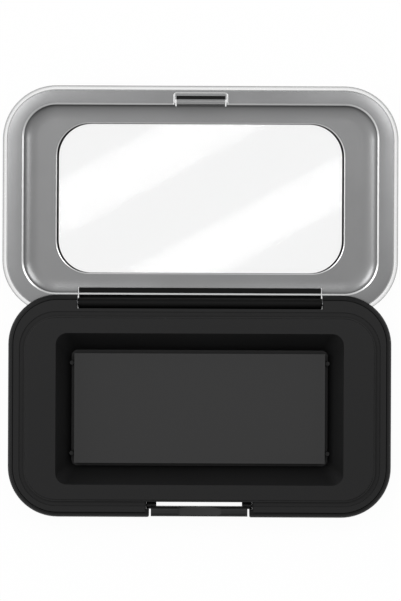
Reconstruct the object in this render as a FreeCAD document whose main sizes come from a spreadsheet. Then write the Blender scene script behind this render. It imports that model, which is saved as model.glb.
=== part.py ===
import FreeCAD, Part
import math
import os
import Sketcher

# Hinged wet palette, modelled lying open. Millimetres, +Z up, +X to the right, +Y to the rear.
# The origin is the centre of the base's underside. The lid lies behind the base, turned right over.

Vector = FreeCAD.Vector

# Driving sizes, one sheet cell each.
SIZES = {
    # base outline and rim
    "base_length": 184.0, "base_depth": 106.8, "base_corner": 24.0,
    "flange_level": 18.0, "nose_radius": 4.0, "rim_gap": 0.4, "rim_flat": 0.2,
    "tub_gap": 0.6, "shell_wall": 2.0, "shell_floor": 2.0, "tub_foot_radius": 3.0,
    # deck and well
    "bead_width": 2.3, "seam_gap": 0.35, "flange_thickness": 2.5,
    "step_inset": 8.35, "step_rear_inset": 11.05, "step_corner": 15.0, "step_height": 2.0,
    "step_edge_radius": 0.6, "moat_width": 2.9, "moat_deep": 0.8,
    "well_side_margin": 14.75, "well_end_margin": 7.45, "well_corner": 5.5,
    "well_side_slope": 6.9, "well_end_slope": 8.25, "well_floor_corner": 3.0,
    "tray_wall": 1.6, "tray_floor": 1.8, "tray_clearance": 0.2,
    "nib_radius": 1.0, "nib_height": 4.0, "nib_inset": 4.6,
    # seal round the raised deck
    "seal_proud": 0.45, "seal_seat": 0.8, "seal_height": 0.9, "seal_lift": 0.3,
    # foam and sheet
    "pad_gap": 1.6, "pad_thickness": 6.0, "pad_corner": 0.8, "pad_edge_radius": 0.6,
    "sheet_thickness": 0.3,
    # hinge
    "pocket_length": 118.0, "pocket_corner": 0.5, "barrel_radius": 2.4, "barrel_gap": 0.3,
    "bar_end_gap": 0.4, "hinge_pin_radius": 1.0, "pin_running_gap": 0.05,
    "hinge_pin_grip": 8.0, "hinge_pin_reach": 8.0,
    "web_thickness": 2.2, "leaf_height": 3.9, "leaf_width": 2.6, "foot_height": 2.4, "frame_lip": 0.8,
    # latch
    "notch_length": 52.0, "notch_depth": 7.5, "latch_gap": 2.2, "latch_end_gap": 2.85, "bar_set_back": 0.5,
    "bar_drop": 0.3, "bar_height": 7.2, "bar_nose_radius": 1.8,
    "arm_width": 4.8, "arm_end_gap": 0.6, "boss_radius": 1.7,
    "latch_pin_radius": 0.8, "latch_pin_drop": 6.0, "latch_pin_back": 2.0, "latch_pin_grip": 6.0,
    "latch_pin_reach": 3.6, "scoop_width": 21.0, "scoop_deep": 1.2,
    "tail_width": 3.6, "tail_thickness": 1.4, "tail_reach": 6.8,
    "spring_width": 3.2, "spring_gauge": 0.4, "spring_gap": 0.1,
    # lid
    "lid_gap": 0.3, "lid_side_overhang": 3.35, "lid_front_overhang": 2.0, "lid_rear_overhang": 1.4,
    "lid_corner": 26.0, "cover_wall": 1.9, "cover_floor": 1.6, "cover_edge_radius": 5.4,
    "cover_inner_radius": 3.5, "frame_gap": 0.15, "frame_flange": 1.5, "frame_floor": 1.4, "frame_wall": 1.5,
    "recess_clearance": 1.15, "recess_rear": 4.8, "recess_corner": 15.8, "recess_slope": 3.0,
    "recess_upright": 2.6, "recess_edge_radius": 0.5,
    "window_side_margin": 16.2, "window_front_margin": 9.1, "window_rear_margin": 9.7, "window_corner": 15.8,
    "tongue_length": 23.5, "tongue_thickness": 1.5, "tongue_reach": 6.0, "tongue_gap": 0.35,
    "slot_end_gap": 0.5, "slot_width": 1.7, "rib_width": 1.9, "rib_height": 0.4,
}

doc = FreeCAD.newDocument("wet_palette")
sheet = doc.addObject("Spreadsheet::Sheet", "sizes")
for row, (alias, size) in enumerate(SIZES.items(), start=1):
    sheet.set(f"A{row}", alias)
    sheet.set(f"B{row}", str(size))
    sheet.setAlias(f"B{row}", alias)
doc.recompute()

# Places that several pieces share, worked out from the sheet.
HINGE_Y = "(sizes.base_depth / 2 - sizes.nose_radius)"
HINGE_Z = "(sizes.flange_level - sizes.nose_radius)"
RIM_THICKNESS = "(2 * sizes.nose_radius + sizes.lid_gap - sizes.rim_gap)"
RIM_UNDER = f"(sizes.flange_level - {RIM_THICKNESS})"
RIM_UNDER_RADIUS = f"({RIM_THICKNESS} - sizes.nose_radius - sizes.rim_flat)"
TUB_INSET = "(2 * sizes.nose_radius + sizes.lid_rear_overhang + sizes.tub_gap)"
LEDGE = "(sizes.flange_level - sizes.flange_thickness)"
STEP_TOP = "(sizes.flange_level + sizes.step_height)"
WELL_FLOOR = "(sizes.shell_floor + sizes.tray_clearance + sizes.tray_floor)"
TRAY_UNDER = "(sizes.shell_floor + sizes.tray_clearance)"
PAD_TOP = f"({WELL_FLOOR} + sizes.pad_thickness)"
LID_RIM = "(sizes.flange_level - 2 * sizes.nose_radius - sizes.lid_gap)"
FRONT_EDGE = "(-sizes.base_depth / 2)"
NOTCH_WALL = f"({FRONT_EDGE} + sizes.notch_depth)"
LATCH_LENGTH = "(sizes.notch_length - 2 * sizes.latch_end_gap)"
LATCH_BAR_BACK = f"({NOTCH_WALL} - sizes.latch_gap)"
LATCH_BAR_FRONT = f"({FRONT_EDGE} + sizes.bar_set_back)"
LATCH_PIN_Y = f"({NOTCH_WALL} - sizes.latch_pin_back)"
LATCH_PIN_Z = "(sizes.flange_level - sizes.latch_pin_drop)"
ARM_END = "(sizes.notch_length / 2 - sizes.arm_end_gap)"
ARM_MIDDLE = f"({ARM_END} - sizes.arm_width / 2)"
RECESS_FLOOR = "(sizes.cover_floor + sizes.frame_floor)"
BAR_LENGTH = "(sizes.pocket_length - 2 * sizes.bar_end_gap)"
POCKET_WALL = f"({HINGE_Y} - sizes.barrel_radius - sizes.barrel_gap)"

# Outlines as length, front, rear and corner radius. Those of the lid are where it lies open.
STEP_LENGTH = "(sizes.base_length - 2 * sizes.step_inset)"
STEP_FRONT = f"({FRONT_EDGE} + sizes.step_inset)"
STEP_REAR = "(sizes.base_depth / 2 - sizes.step_rear_inset)"
WELL_LENGTH = f"({STEP_LENGTH} - 2 * sizes.well_side_margin)"
WELL_FRONT = f"({STEP_FRONT} + sizes.well_end_margin)"
WELL_REAR = f"({STEP_REAR} - sizes.well_end_margin)"
FLOOR_LENGTH = f"({WELL_LENGTH} - 2 * sizes.well_side_slope)"
FLOOR_FRONT = f"({WELL_FRONT} + sizes.well_end_slope)"
FLOOR_REAR = f"({WELL_REAR} - sizes.well_end_slope)"
PAD_LENGTH = f"({FLOOR_LENGTH} - 2 * sizes.pad_gap)"
PAD_FRONT = f"({FLOOR_FRONT} + sizes.pad_gap)"
PAD_REAR = f"({FLOOR_REAR} - sizes.pad_gap)"
LID_REAR = f"({HINGE_Y} - sizes.nose_radius - sizes.lid_rear_overhang)"
LID_FRONT = f"(2 * {HINGE_Y} - {FRONT_EDGE} + sizes.lid_front_overhang)"
RECESS_LENGTH = f"({STEP_LENGTH} + 2 * sizes.recess_clearance)"
RECESS_REAR = f"({HINGE_Y} + sizes.recess_rear)"
RECESS_FRONT = f"(2 * {HINGE_Y} - {STEP_FRONT} + sizes.recess_clearance)"
OUTLINES = {
    "base": ("sizes.base_length", FRONT_EDGE, "sizes.base_depth / 2", "sizes.base_corner"),
    "step": (STEP_LENGTH, STEP_FRONT, STEP_REAR, "sizes.step_corner"),
    "well": (WELL_LENGTH, WELL_FRONT, WELL_REAR, "sizes.well_corner"),
    "well_floor": (FLOOR_LENGTH, FLOOR_FRONT, FLOOR_REAR, "sizes.well_floor_corner"),
    "pad": (PAD_LENGTH, PAD_FRONT, PAD_REAR, "sizes.pad_corner"),
    "lid": ("sizes.base_length + 2 * sizes.lid_side_overhang", LID_REAR, LID_FRONT, "sizes.lid_corner"),
    "recess": (RECESS_LENGTH, RECESS_REAR, RECESS_FRONT, "sizes.recess_corner"),
    "window": (f"{RECESS_LENGTH} - 2 * sizes.window_side_margin",
               f"{RECESS_REAR} + sizes.window_rear_margin",
               f"{RECESS_FRONT} - sizes.window_front_margin", "sizes.window_corner"),
}


def number(expression):
    """Value of a sheet expression."""
    return float(sheet.evalExpression(expression))


def new_body(label):
    body = doc.addObject("PartDesign::Body", label + "_body")
    body.Label = label
    return body


def plane(body, role):
    """One of a body's own origin planes."""
    return next(f for f in body.Origin.OriginFeatures if f.Role == role)


def new_sketch(body, name, role, offset):
    sketch = body.newObject("Sketcher::SketchObject", name)
    sketch.AttachmentSupport = (plane(body, role), [""])
    sketch.MapMode = "FlatFace"
    sketch.setExpression("AttachmentOffset.Base.z", offset)
    return sketch


def drive(sketch, constraint, name, expression):
    """Add a named constraint whose value follows the sheet."""
    index = sketch.addConstraint(constraint)
    sketch.renameConstraint(index, name)
    sketch.setExpression("Constraints." + name, expression)


def rounded_rectangle(body, name, length, low, high, corner, level, role="XY_Plane", middle="0"):
    """Sketch of a rounded rectangle about a middle line, from low to high along it."""
    sketch = new_sketch(body, name, role, level)
    left, right = (number(f"{middle} {sign} ({length}) / 2") for sign in "-+")
    bottom, top, radius = number(low), number(high), number(corner)
    ends = [
        ((left + radius, bottom), (right - radius, bottom)),
        ((right, bottom + radius), (right, top - radius)),
        ((right - radius, top), (left + radius, top)),
        ((left, top - radius), (left, bottom + radius)),
    ]
    centres = [(right - radius, bottom + radius), (right - radius, top - radius),
               (left + radius, top - radius), (left + radius, bottom + radius)]
    for start, end in ends:
        sketch.addGeometry(Part.LineSegment(Vector(*start, 0), Vector(*end, 0)), False)
    for turn, centre in enumerate(centres):
        circle = Part.Circle(Vector(*centre, 0), Vector(0, 0, 1), radius)
        sketch.addGeometry(Part.ArcOfCircle(circle, (turn - 1) * math.pi / 2, turn * math.pi / 2), False)
    for side in range(4):
        sketch.addConstraint(Sketcher.Constraint("Tangent", side, 2, 4 + side, 1))
        sketch.addConstraint(Sketcher.Constraint("Tangent", 4 + side, 2, (side + 1) % 4, 1))
        sketch.addConstraint(Sketcher.Constraint("Vertical" if side % 2 else "Horizontal", side))
        if side:
            sketch.addConstraint(Sketcher.Constraint("Equal", 4, 4 + side))
    drive(sketch, Sketcher.Constraint("Radius", 4, radius), "corner", corner)
    drive(sketch, Sketcher.Constraint("DistanceX", 3, 1, 1, 1, right - left), "length", length)
    drive(sketch, Sketcher.Constraint("DistanceX", -1, 1, 1, 1, right), "right", f"{middle} + ({length}) / 2")
    drive(sketch, Sketcher.Constraint("DistanceY", 0, 1, 2, 1, top - bottom), "depth", f"({high}) - ({low})")
    drive(sketch, Sketcher.Constraint("DistanceY", -1, 1, 2, 1, top), "top", high)
    return sketch


def outline(body, name, kind, inset, level):
    """Sketch of one of the outlines above, set in by a distance all round."""
    length, front, rear, corner = OUTLINES[kind]
    return rounded_rectangle(
        body, name, f"({length}) - 2 * ({inset})", f"({front}) + ({inset})", f"({rear}) - ({inset})",
        f"({corner}) - ({inset})", level)


def pad(body, sketch, name, height):
    feature = body.newObject("PartDesign::Pad", name)
    feature.Profile = sketch
    feature.setExpression("Length", height)
    doc.recompute()
    return feature


def pocket(body, sketch, name, height):
    """Cut upwards from the sketch, and make sure that something was cut."""
    before = body.Shape.Volume
    feature = body.newObject("PartDesign::Pocket", name)
    feature.Profile = sketch
    feature.Reversed = True
    feature.setExpression("Length", height)
    doc.recompute()
    if not body.Shape.Volume < before - 1e-3:
        raise RuntimeError(f"{body.Label}: {name} cuts nothing")
    return feature


def loft(body, kind, sketch, other, name):
    feature = body.newObject("PartDesign::" + kind, name)
    feature.Profile = sketch
    feature.Sections = [other]
    feature.Ruled = True
    doc.recompute()
    return feature


def cross_cylinder(body, name, radius, length, middle_x, place_y, place_z):
    """Cut a round hole along X."""
    before = body.Shape.Volume
    feature = body.newObject("PartDesign::SubtractiveCylinder", name)
    feature.setExpression("Radius", radius)
    feature.setExpression("Height", length)
    feature.Placement = FreeCAD.Placement(Vector(), FreeCAD.Rotation(Vector(0, 1, 0), 90))
    feature.setExpression("Placement.Base.x", f"({middle_x}) - ({length}) / 2")
    feature.setExpression("Placement.Base.y", place_y)
    feature.setExpression("Placement.Base.z", place_z)
    doc.recompute()
    if not body.Shape.Volume < before - 1e-3:
        raise RuntimeError(f"{body.Label}: {name} cuts nothing")
    return feature


def fillet(body, name, radius, wanted):
    """Round the edges of the body's last feature that the test picks."""
    tip = body.Tip
    picked = [f"Edge{i}" for i, edge in enumerate(tip.Shape.Edges, start=1) if wanted(edge)]
    feature = body.newObject("PartDesign::Fillet", name)
    feature.Base = (tip, picked)
    feature.setExpression("Radius", radius)
    doc.recompute()
    return feature


def level_edges(level, inside=None, outside=None):
    """Test for edges lying at a height, within or beyond a half-length in X."""
    height = number(level)

    def wanted(edge):
        box = edge.BoundBox
        if abs(box.ZMin - height) > 1e-4 or abs(box.ZMax - height) > 1e-4:
            return False
        reach = max(abs(box.XMin), abs(box.XMax))
        if inside is not None and reach > number(inside):
            return False
        return outside is None or reach > number(outside)

    return wanted


def cut_hinge_pocket(body, level, height):
    """Open the rear of the rim for the hinge barrel."""
    sketch = rounded_rectangle(
        body, "hinge_pocket_outline", "sizes.pocket_length", POCKET_WALL,
        "sizes.base_depth / 2 + sizes.nose_radius", "sizes.pocket_corner", level)
    pocket(body, sketch, "hinge_pocket", height)


def cut_latch_notch(body, level, height):
    """Open the front of the rim for the latch lever."""
    sketch = rounded_rectangle(
        body, "latch_notch_outline", "sizes.notch_length", f"{FRONT_EDGE} - sizes.nose_radius",
        NOTCH_WALL, "sizes.pocket_corner", level)
    pocket(body, sketch, "latch_notch", height)


def make_base_shell():
    body = new_body("base_shell")
    rim = outline(body, "rim_outline", "base", "0", RIM_UNDER)
    pad(body, rim, "rim", RIM_THICKNESS)
    fillet(body, "rim_nose", "sizes.nose_radius", level_edges("sizes.flange_level"))
    fillet(body, "rim_underside", RIM_UNDER_RADIUS, level_edges(RIM_UNDER))
    pad(body, outline(body, "tub_outline", "base", TUB_INSET, "0"), "tub", RIM_UNDER)
    fillet(body, "tub_foot", "sizes.tub_foot_radius", level_edges("0"))
    inner = outline(body, "cavity_outline", "base", f"{TUB_INSET} + sizes.shell_wall", "sizes.shell_floor")
    pocket(body, inner, "cavity", "sizes.flange_level")
    recess = outline(body, "deck_recess_outline", "base", "sizes.bead_width", LEDGE)
    pocket(body, recess, "deck_recess", "sizes.flange_level")
    cut_hinge_pocket(body, "0", STEP_TOP)
    cut_latch_notch(body, "0", STEP_TOP)
    hinge_hole = "sizes.pocket_length + 2 * sizes.hinge_pin_grip"
    cross_cylinder(body, "hinge_pin_holes", "sizes.hinge_pin_radius", hinge_hole, "0", HINGE_Y, HINGE_Z)
    latch_hole = "sizes.notch_length + 2 * sizes.latch_pin_grip"
    radius = "sizes.latch_pin_radius"
    cross_cylinder(body, "latch_pin_holes", radius, latch_hole, "0", LATCH_PIN_Y, LATCH_PIN_Z)
    return body


def make_deck_tray():
    body = new_body("deck_tray")
    flange = outline(body, "flange_outline", "base", "sizes.bead_width + sizes.seam_gap", LEDGE)
    pad(body, flange, "flange", "sizes.flange_thickness")
    moat = outline(body, "moat_outline", "step", "-sizes.moat_width", "sizes.flange_level - sizes.moat_deep")
    pocket(body, moat, "moat", "sizes.moat_deep")
    step = outline(body, "step_outline", "step", "0", LEDGE)
    pad(body, step, "raised_deck", "sizes.flange_thickness + sizes.step_height")
    fillet(body, "step_edge", "sizes.step_edge_radius", level_edges(STEP_TOP))
    cut_seal_groove(body, "sizes.flange_level + sizes.seal_lift")
    outer_top = outline(body, "tray_top_outline", "well", "-sizes.tray_wall", LEDGE)
    outer_floor = outline(body, "tray_floor_outline", "well_floor", "-sizes.tray_wall", TRAY_UNDER)
    loft(body, "AdditiveLoft", outer_top, outer_floor, "tray")
    mouth = outline(body, "well_mouth_outline", "well", "0", STEP_TOP)
    floor = outline(body, "well_floor_outline", "well_floor", "0", WELL_FLOOR)
    loft(body, "SubtractiveLoft", mouth, floor, "well")
    cut_hinge_pocket(body, LEDGE, "sizes.flange_thickness")
    cut_latch_notch(body, LEDGE, "sizes.flange_thickness")
    add_nibs(body)
    return body


def cut_seal_groove(body, level):
    """Groove for the seal in the raised deck's side."""
    sketch = outline(body, "seal_groove_outline", "step", "-sizes.seal_proud", level)
    core = outline(body, "seal_groove_core", "step", "sizes.seal_seat", level)
    pocket(body, sketch, "seal_groove", "sizes.seal_height")
    pad(body, core, "seal_land", "sizes.seal_height")


def add_nibs(body):
    """Four small nibs on the well's floor that keep the foam from creeping."""
    sketch = new_sketch(body, "nib_circles", "XY_Plane", WELL_FLOOR)
    radius = number("sizes.nib_radius")
    across = f"({PAD_LENGTH} / 2 + sizes.nib_radius + sizes.seam_gap)"
    ends = {"front": f"{PAD_FRONT} + sizes.nib_inset", "rear": f"{PAD_REAR} - sizes.nib_inset"}
    for side, sign in (("left", -1), ("right", 1)):
        for end, along in ends.items():
            centre = Vector(sign * number(across), number(along), 0)
            circle = sketch.addGeometry(Part.Circle(centre, Vector(0, 0, 1), radius), False)
            tag = f"{side}_{end}"
            drive(sketch, Sketcher.Constraint("Radius", circle, radius), f"radius_{tag}", "sizes.nib_radius")
            drive(sketch, Sketcher.Constraint("DistanceX", -1, 1, circle, 3, centre.x),
                  f"across_{tag}", f"{sign} * {across}")
            drive(sketch, Sketcher.Constraint("DistanceY", -1, 1, circle, 3, centre.y), f"along_{tag}", along)
    pad(body, sketch, "nibs", "sizes.nib_height")


def make_seal_ring():
    body = new_body("seal_ring")
    level = "sizes.flange_level + sizes.seal_lift"
    ring = outline(body, "seal_outline", "step", "-sizes.seal_proud", level)
    pad(body, ring, "ring", "sizes.seal_height")
    bore = outline(body, "seal_bore", "step", "sizes.seal_seat", level)
    pocket(body, bore, "bore", "sizes.seal_height")
    return body


def make_slab(label, level, height, edge):
    """Foam or sheet, both cut to the pad's outline."""
    body = new_body(label)
    pad(body, outline(body, label + "_outline", "pad", "0", level), "slab", height)
    if edge:
        fillet(body, "soft_edge", edge, level_edges(f"({level}) + ({height})"))
    return body


def make_rod(label, radius, length, start_x, place_y, place_z):
    """A plain steel pin along X."""
    rod = doc.addObject("Part::Cylinder", label)
    rod.Label = label
    rod.setExpression("Radius", radius)
    rod.setExpression("Height", length)
    rod.Placement = FreeCAD.Placement(Vector(), FreeCAD.Rotation(Vector(0, 1, 0), 90))
    rod.setExpression("Placement.Base.x", start_x)
    rod.setExpression("Placement.Base.y", place_y)
    rod.setExpression("Placement.Base.z", place_z)
    return rod


def make_pins():
    reach = "sizes.hinge_pin_grip + sizes.bar_end_gap + sizes.hinge_pin_reach"
    outer = "sizes.pocket_length / 2 + sizes.hinge_pin_grip"
    radius = "sizes.hinge_pin_radius"
    left = make_rod("hinge_pin_left", radius, reach, f"-({outer})", HINGE_Y, HINGE_Z)
    right = make_rod("hinge_pin_right", radius, reach, f"{outer} - ({reach})", HINGE_Y, HINGE_Z)
    length = "sizes.latch_pin_grip + sizes.arm_end_gap + sizes.latch_pin_reach"
    end = "sizes.notch_length / 2 + sizes.latch_pin_grip"
    thin = "sizes.latch_pin_radius"
    latch_left = make_rod("latch_pin_left", thin, length, f"-({end})", LATCH_PIN_Y, LATCH_PIN_Z)
    latch_right = make_rod("latch_pin_right", thin, length, f"{end} - ({length})", LATCH_PIN_Y, LATCH_PIN_Z)
    return [left, right, latch_left, latch_right]


def make_latch_lever():
    """Thumb bar on two arms that turn on stub pins, with a tail under each arm for the springs."""
    body = new_body("latch_lever")
    bar_top = "(sizes.flange_level - sizes.bar_drop)"
    bar = rounded_rectangle(
        body, "bar_profile", f"{LATCH_BAR_BACK} - {LATCH_BAR_FRONT}", f"{bar_top} - sizes.bar_height",
        bar_top, "sizes.bar_nose_radius", f"-{LATCH_LENGTH} / 2", "YZ_Plane",
        f"({LATCH_BAR_BACK} + {LATCH_BAR_FRONT}) / 2")
    pad(body, bar, "bar", LATCH_LENGTH)
    add_arm(body, "left", "-")
    add_arm(body, "right", "+")
    cut_scoop(body, bar_top)
    return body


def add_arm(body, side, sign):
    """One arm of the lever: a boss with a blind bore for the stub pin, and the tail under it."""
    middle = f"{sign}{ARM_MIDDLE}"
    profile = rounded_rectangle(
        body, f"boss_profile_{side}", "2 * sizes.boss_radius", f"{LATCH_PIN_Z} - sizes.boss_radius",
        f"{LATCH_PIN_Z} + sizes.boss_radius", "0.96 * sizes.boss_radius", f"{middle} - sizes.arm_width / 2",
        "YZ_Plane", LATCH_PIN_Y)
    pad(body, profile, f"boss_{side}", "sizes.arm_width")
    foot = rounded_rectangle(
        body, f"tail_outline_{side}", "sizes.tail_width", f"{LATCH_PIN_Y} - sizes.tail_thickness / 2",
        f"{LATCH_PIN_Y} + sizes.tail_thickness / 2", "sizes.pocket_corner",
        f"{LATCH_PIN_Z} - sizes.tail_reach", "XY_Plane", middle)
    pad(body, foot, f"tail_{side}", "sizes.tail_reach")
    deep = "(sizes.latch_pin_reach + sizes.arm_end_gap)"
    cross_cylinder(body, f"pin_bore_{side}", "sizes.latch_pin_radius + sizes.pin_running_gap", deep,
                   f"{sign}({ARM_END} + sizes.arm_end_gap / 2 - {deep} / 2)", LATCH_PIN_Y, LATCH_PIN_Z)


def cut_scoop(body, bar_top):
    """Shallow thumb scoop across the bar: a large cylinder that runs front to back."""
    radius = "((sizes.scoop_width / 2) ^ 2 + sizes.scoop_deep ^ 2) / (2 * sizes.scoop_deep)"
    length = "sizes.notch_depth * 2"
    feature = body.newObject("PartDesign::SubtractiveCylinder", "scoop")
    feature.setExpression("Radius", radius)
    feature.setExpression("Height", length)
    feature.Placement = FreeCAD.Placement(Vector(), FreeCAD.Rotation(Vector(1, 0, 0), -90))
    feature.setExpression("Placement.Base.y", f"{FRONT_EDGE} - ({length}) / 4")
    feature.setExpression("Placement.Base.z", f"{bar_top} + ({radius}) - sizes.scoop_deep")
    doc.recompute()


def make_latch_spring(label, sign):
    """U-shaped leaf: both ends on the tub's front wall, its bend behind one of the lever's tails."""
    wall = number(f"{FRONT_EDGE} + {TUB_INSET}")
    crown = number(f"{LATCH_PIN_Y} + sizes.tail_thickness / 2 + sizes.spring_gap")
    gauge, width = number("sizes.spring_gauge"), number("sizes.spring_width")
    low = number("sizes.tub_foot_radius + sizes.spring_gap")
    high = number(f"{RIM_UNDER} - sizes.spring_gap")
    middle, bend = (low + high) / 2, (high - low) / 2
    curves = []
    for inset in (0.0, gauge):
        upper = Vector(0, crown + bend, high - inset)
        lower = Vector(0, crown + bend, low + inset)
        curves.append(Part.LineSegment(Vector(0, wall, high - inset), upper))
        curves.append(Part.Arc(upper, Vector(0, crown + inset, middle), lower))
        curves.append(Part.LineSegment(lower, Vector(0, wall, low + inset)))
    curves.append(Part.LineSegment(Vector(0, wall, high), Vector(0, wall, high - gauge)))
    curves.append(Part.LineSegment(Vector(0, wall, low), Vector(0, wall, low + gauge)))
    wire = Part.Wire(Part.__sortEdges__([curve.toShape() for curve in curves]))
    leaf = doc.addObject("Part::Feature", label)
    leaf.Label = label
    leaf.Shape = Part.Face(wire).extrude(Vector(width, 0, 0))
    leaf.Placement.Base = Vector(sign * number(ARM_MIDDLE) - width / 2, 0, 0)
    return leaf


def make_lid_cover():
    body = new_body("lid_cover")
    pad(body, outline(body, "cover_outline", "lid", "0", "0"), "block", LID_RIM)
    fillet(body, "cover_edge", "sizes.cover_edge_radius", level_edges("0"))
    inner = outline(body, "cover_inner_outline", "lid", "sizes.cover_wall", "sizes.cover_floor")
    pocket(body, inner, "hollow", LID_RIM)
    reach = "sizes.base_length / 2 + sizes.lid_side_overhang - sizes.cover_wall + 0.01"
    inner_edge = level_edges("sizes.cover_floor", inside=reach)
    fillet(body, "cover_inner_edge", "sizes.cover_inner_radius", inner_edge)
    return body


def make_lid_frame():
    body = new_body("lid_frame")
    flange_under = f"({LID_RIM} - sizes.frame_flange)"
    edge = "sizes.cover_wall + sizes.frame_gap"
    pad(body, outline(body, "frame_outline", "lid", edge, flange_under), "flange", "sizes.frame_flange")
    outer_top = outline(body, "recess_outer_top", "recess", "-sizes.frame_wall", flange_under)
    slope = "sizes.recess_slope - sizes.frame_wall"
    outer_floor = outline(body, "recess_outer_floor", "recess", slope, "sizes.cover_floor")
    loft(body, "AdditiveLoft", outer_top, outer_floor, "recess_tub")
    upright = outline(body, "recess_mouth", "recess", "0", f"{LID_RIM} - sizes.recess_upright")
    pocket(body, upright, "recess_mouth_cut", "sizes.recess_upright")
    inner_top = outline(body, "recess_top", "recess", "0", f"{LID_RIM} - sizes.recess_upright")
    inner_floor = outline(body, "recess_floor", "recess", "sizes.recess_slope", RECESS_FLOOR)
    loft(body, "SubtractiveLoft", inner_top, inner_floor, "recess")
    recess_reach = f"{RECESS_LENGTH} / 2 + 0.01"
    fillet(body, "recess_edge", "sizes.recess_edge_radius", level_edges(LID_RIM, inside=recess_reach))
    window = outline(body, "window_outline", "window", "0", "sizes.cover_floor")
    pocket(body, window, "window", "sizes.frame_floor")
    cut_bar_notch(body)
    add_catch(body, flange_under)
    return body


def cut_bar_notch(body):
    """Way for the hinge bar: a notch in the rear flange and a gap under the lip that is left."""
    lip_rear = f"({RECESS_REAR} - sizes.frame_lip)"
    notch = rounded_rectangle(body, "bar_notch_outline", "sizes.pocket_length",
                              LID_REAR, lip_rear, "sizes.pocket_corner", "0")
    pocket(body, notch, "bar_notch", "sizes.flange_level")
    leaf = rounded_rectangle(
        body, "leaf_slot_outline", "sizes.pocket_length", RECESS_REAR,
        f"{RECESS_REAR} + sizes.leaf_width + sizes.barrel_gap", "sizes.pocket_corner", "0")
    pocket(body, leaf, "leaf_slot", "sizes.flange_level")
    under = rounded_rectangle(
        body, "bar_gap_outline", "sizes.pocket_length", LID_REAR,
        f"{RECESS_REAR} + sizes.leaf_width + sizes.barrel_gap", "sizes.pocket_corner", "0")
    pocket(body, under, "bar_gap", f"{RECESS_FLOOR} + sizes.foot_height + sizes.barrel_gap")


def add_catch(body, flange_under):
    """Catch tongue that drops behind the latch bar, with a slot beside it."""
    near = f"(2 * {HINGE_Y} - {NOTCH_WALL} + sizes.tongue_gap)"
    far = f"({near} + sizes.tongue_thickness)"
    tongue = rounded_rectangle(body, "tongue_outline", "sizes.tongue_length", near, far,
                               "sizes.pocket_corner", flange_under)
    pad(body, tongue, "tongue", "sizes.frame_flange + sizes.tongue_reach")
    slot_length = "sizes.tongue_length + 2 * sizes.slot_end_gap"
    slot = rounded_rectangle(body, "slot_outline", slot_length, far, f"{far} + sizes.slot_width",
                             "sizes.pocket_corner", flange_under)
    pocket(body, slot, "slot", "sizes.frame_flange")
    rib_rear = f"({far} + sizes.slot_width)"
    rib_front = f"{rib_rear} + sizes.rib_width"
    rib = rounded_rectangle(body, "rib_outline", "sizes.tongue_length", rib_rear, rib_front,
                            "sizes.pocket_corner", flange_under)
    pad(body, rib, "rib", "sizes.frame_flange + sizes.rib_height")


def make_hinge_bar():
    """Barrel, web and leaf in one black moulding, clamped between the frame and the cover."""
    body = new_body("hinge_bar")
    foot_top = f"({RECESS_FLOOR} + sizes.foot_height)"
    web_rear = f"({HINGE_Y} + sizes.barrel_radius)"
    web_front = f"({web_rear} - sizes.web_thickness)"
    leaf_front = RECESS_REAR
    leaf_rear = f"({leaf_front} + sizes.leaf_width)"
    foot = rounded_rectangle(body, "foot_outline", BAR_LENGTH, web_front, leaf_rear, "sizes.pocket_corner",
                             "sizes.cover_floor")
    pad(body, foot, "foot", f"{foot_top} - sizes.cover_floor")
    leaf = rounded_rectangle(body, "leaf_outline", BAR_LENGTH, f"{leaf_front} + sizes.barrel_gap", leaf_rear,
                             "sizes.pocket_corner", "sizes.cover_floor")
    pad(body, leaf, "leaf", f"{RECESS_FLOOR} + sizes.leaf_height - sizes.cover_floor")
    web = rounded_rectangle(body, "web_outline", BAR_LENGTH, web_front, web_rear, "sizes.pocket_corner",
                            "sizes.cover_floor")
    pad(body, web, "web", f"{HINGE_Z} - sizes.cover_floor")
    barrel = body.newObject("PartDesign::AdditiveCylinder", "barrel")
    barrel.setExpression("Radius", "sizes.barrel_radius")
    barrel.setExpression("Height", BAR_LENGTH)
    barrel.Placement = FreeCAD.Placement(Vector(), FreeCAD.Rotation(Vector(0, 1, 0), 90))
    barrel.setExpression("Placement.Base.x", f"-{BAR_LENGTH} / 2")
    barrel.setExpression("Placement.Base.y", HINGE_Y)
    barrel.setExpression("Placement.Base.z", HINGE_Z)
    doc.recompute()
    bore = "sizes.hinge_pin_radius + sizes.pin_running_gap"
    cross_cylinder(body, "pin_bore", bore, "sizes.pocket_length", "0", HINGE_Y, HINGE_Z)
    return body


pieces = [
    make_base_shell(),
    make_deck_tray(),
    make_seal_ring(),
    make_slab("foam_pad", WELL_FLOOR, "sizes.pad_thickness", "sizes.pad_edge_radius"),
    make_slab("palette_sheet", PAD_TOP, "sizes.sheet_thickness", ""),
    *make_pins(),
    make_latch_lever(),
    make_latch_spring("latch_spring_left", -1),
    make_latch_spring("latch_spring_right", 1),
    make_lid_cover(),
    make_lid_frame(),
    make_hinge_bar(),
]
doc.recompute()

for item in doc.Objects:
    if "Invalid" in item.State or "Error" in item.State:
        raise RuntimeError(f"{item.Label} failed: {item.State}")
for piece in pieces:
    shape = piece.Shape
    if shape.isNull() or not shape.isValid():
        raise RuntimeError(f"{piece.Label} has no valid shape")
    box = shape.BoundBox
    print(f"{piece.Label:16s} solids {len(shape.Solids)}  volume {shape.Volume:9.1f} mm3  "
          f"z {box.ZMin:6.2f} to {box.ZMax:6.2f}")

os.makedirs("parts", exist_ok=True)
for piece in pieces:
    piece.Shape.exportStep(f"parts/{piece.Label}.step")
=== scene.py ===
import math

import bmesh
import bpy
from mathutils import Matrix, Vector, noise


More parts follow.
